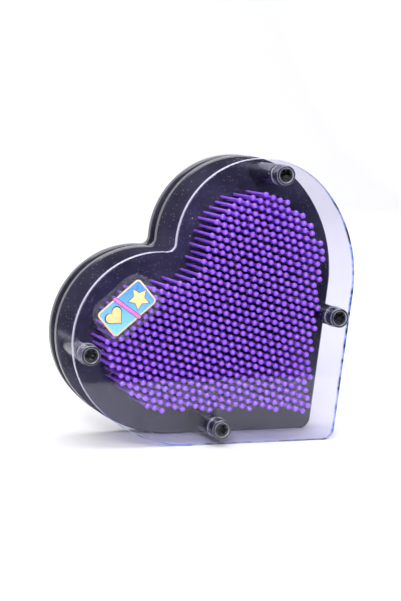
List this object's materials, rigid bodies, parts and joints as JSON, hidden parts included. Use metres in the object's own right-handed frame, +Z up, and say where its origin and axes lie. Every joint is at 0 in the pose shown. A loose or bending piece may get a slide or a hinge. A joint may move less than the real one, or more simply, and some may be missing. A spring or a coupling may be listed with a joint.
{
  "type": "pin art impression toy",
  "caption": "Heart-shaped pin art toy: rows of ball-headed pins slide through two black perforated plates behind a clear cover held on four socket-headed posts.",
  "frame": {"origin": "bottom centre of the box round the whole toy, on the surface it stands on", "axes": "+X to the right along the straight side it stands on, +Y into the toy, away from the viewer and along the pins, +Z up"},
  "size_m": [0.1465, 0.062, 0.1427],
  "materials": {
    "clear_acrylic": "polished clear acrylic",
    "black_plate": "satin moulded",
    "black_post": "smooth moulded",
    "purple_pin": "glossy moulded",
    "badge": "printed film"
  },
  "bodies": {
    "frame": {"front_cover": "clear_acrylic", "front_plate": "black_plate", "rear_plate": "black_plate", "cover_badge": "badge", "cover_spacer_top": "black_post", "cover_spacer_right": "black_post", "cover_spacer_bottom": "black_post", "cover_spacer_left": "black_post", "plate_spacer_top": "black_post", "plate_spacer_right": "black_post", "plate_spacer_bottom": "black_post", "plate_spacer_left": "black_post", "cover_washers": "clear_acrylic", "post_screws": "black_post", "post_nuts": "black_post"},
    "row_01": {"pin_row_01": "purple_pin"},
    "row_02": {"pin_row_02": "purple_pin"},
    "row_03": {"pin_row_03": "purple_pin"},
    "row_04": {"pin_row_04": "purple_pin"},
    "row_05": {"pin_row_05": "purple_pin"},
    "row_06": {"pin_row_06": "purple_pin"},
    "row_07": {"pin_row_07": "purple_pin"},
    "row_08": {"pin_row_08": "purple_pin"},
    "row_09": {"pin_row_09": "purple_pin"},
    "row_10": {"pin_row_10": "purple_pin"},
    "row_11": {"pin_row_11": "purple_pin"},
    "row_12": {"pin_row_12": "purple_pin"},
    "row_13": {"pin_row_13": "purple_pin"},
    "row_14": {"pin_row_14": "purple_pin"},
    "row_15": {"pin_row_15": "purple_pin"},
    "row_16": {"pin_row_16": "purple_pin"},
    "row_17": {"pin_row_17": "purple_pin"},
    "row_18": {"pin_row_18": "purple_pin"},
    "row_19": {"pin_row_19": "purple_pin"},
    "row_20": {"pin_row_20": "purple_pin"},
    "row_21": {"pin_row_21": "purple_pin"},
    "row_22": {"pin_row_22": "purple_pin"},
    "row_23": {"pin_row_23": "purple_pin"},
    "row_24": {"pin_row_24": "purple_pin"},
    "row_25": {"pin_row_25": "purple_pin"},
    "row_26": {"pin_row_26": "purple_pin"},
    "row_27": {"pin_row_27": "purple_pin"},
    "row_28": {"pin_row_28": "purple_pin"},
    "row_29": {"pin_row_29": "purple_pin"},
    "row_30": {"pin_row_30": "purple_pin"},
    "row_31": {"pin_row_31": "purple_pin"}
  },
  "joints": [
    {"name": "row_01_slide", "type": "slide", "parent": "frame", "child": "row_01", "axis": [0, 1, 0], "range_m": [-0.0002, 0.0262]},
    {"name": "row_02_slide", "type": "slide", "parent": "frame", "child": "row_02", "axis": [0, 1, 0], "range_m": [-0.0002, 0.0262]},
    {"name": "row_03_slide", "type": "slide", "parent": "frame", "child": "row_03", "axis": [0, 1, 0], "range_m": [-0.0002, 0.0262]},
    {"name": "row_04_slide", "type": "slide", "parent": "frame", "child": "row_04", "axis": [0, 1, 0], "range_m": [-0.0002, 0.0262]},
    {"name": "row_05_slide", "type": "slide", "parent": "frame", "child": "row_05", "axis": [0, 1, 0], "range_m": [-0.0002, 0.0262]},
    {"name": "row_06_slide", "type": "slide", "parent": "frame", "child": "row_06", "axis": [0, 1, 0], "range_m": [-0.0002, 0.0262]},
    {"name": "row_07_slide", "type": "slide", "parent": "frame", "child": "row_07", "axis": [0, 1, 0], "range_m": [-0.0002, 0.0262]},
    {"name": "row_08_slide", "type": "slide", "parent": "frame", "child": "row_08", "axis": [0, 1, 0], "range_m": [-0.0002, 0.0262]},
    {"name": "row_09_slide", "type": "slide", "parent": "frame", "child": "row_09", "axis": [0, 1, 0], "range_m": [-0.0002, 0.0262]},
    {"name": "row_10_slide", "type": "slide", "parent": "frame", "child": "row_10", "axis": [0, 1, 0], "range_m": [-0.0002, 0.0262]},
    {"name": "row_11_slide", "type": "slide", "parent": "frame", "child": "row_11", "axis": [0, 1, 0], "range_m": [-0.0002, 0.0262]},
    {"name": "row_12_slide", "type": "slide", "parent": "frame", "child": "row_12", "axis": [0, 1, 0], "range_m": [-0.0002, 0.0262]},
    {"name": "row_13_slide", "type": "slide", "parent": "frame", "child": "row_13", "axis": [0, 1, 0], "range_m": [-0.0002, 0.0262]},
    {"name": "row_14_slide", "type": "slide", "parent": "frame", "child": "row_14", "axis": [0, 1, 0], "range_m": [-0.0002, 0.0262]},
    {"name": "row_15_slide", "type": "slide", "parent": "frame", "child": "row_15", "axis": [0, 1, 0], "range_m": [-0.0002, 0.0262]},
    {"name": "row_16_slide", "type": "slide", "parent": "frame", "child": "row_16", "axis": [0, 1, 0], "range_m": [-0.0002, 0.0262]},
    {"name": "row_17_slide", "type": "slide", "parent": "frame", "child": "row_17", "axis": [0, 1, 0], "range_m": [-0.0002, 0.0262]},
    {"name": "row_18_slide", "type": "slide", "parent": "frame", "child": "row_18", "axis": [0, 1, 0], "range_m": [-0.0002, 0.0262]},
    {"name": "row_19_slide", "type": "slide", "parent": "frame", "child": "row_19", "axis": [0, 1, 0], "range_m": [-0.0002, 0.0262]},
    {"name": "row_20_slide", "type": "slide", "parent": "frame", "child": "row_20", "axis": [0, 1, 0], "range_m": [-0.0002, 0.0262]},
    {"name": "row_21_slide", "type": "slide", "parent": "frame", "child": "row_21", "axis": [0, 1, 0], "range_m": [-0.0002, 0.0262]},
    {"name": "row_22_slide", "type": "slide", "parent": "frame", "child": "row_22", "axis": [0, 1, 0], "range_m": [-0.0002, 0.0262]},
    {"name": "row_23_slide", "type": "slide", "parent": "frame", "child": "row_23", "axis": [0, 1, 0], "range_m": [-0.0002, 0.0262]},
    {"name": "row_24_slide", "type": "slide", "parent": "frame", "child": "row_24", "axis": [0, 1, 0], "range_m": [-0.0002, 0.0262]},
    {"name": "row_25_slide", "type": "slide", "parent": "frame", "child": "row_25", "axis": [0, 1, 0], "range_m": [-0.0002, 0.0262]},
    {"name": "row_26_slide", "type": "slide", "parent": "frame", "child": "row_26", "axis": [0, 1, 0], "range_m": [-0.0002, 0.0262]},
    {"name": "row_27_slide", "type": "slide", "parent": "frame", "child": "row_27", "axis": [0, 1, 0], "range_m": [-0.0002, 0.0262]},
    {"name": "row_28_slide", "type": "slide", "parent": "frame", "child": "row_28", "axis": [0, 1, 0], "range_m": [-0.0002, 0.0262]},
    {"name": "row_29_slide", "type": "slide", "parent": "frame", "child": "row_29", "axis": [0, 1, 0], "range_m": [-0.0002, 0.0262]},
    {"name": "row_30_slide", "type": "slide", "parent": "frame", "child": "row_30", "axis": [0, 1, 0], "range_m": [-0.0002, 0.0262]},
    {"name": "row_31_slide", "type": "slide", "parent": "frame", "child": "row_31", "axis": [0, 1, 0], "range_m": [-0.0002, 0.0262]}
  ]
}
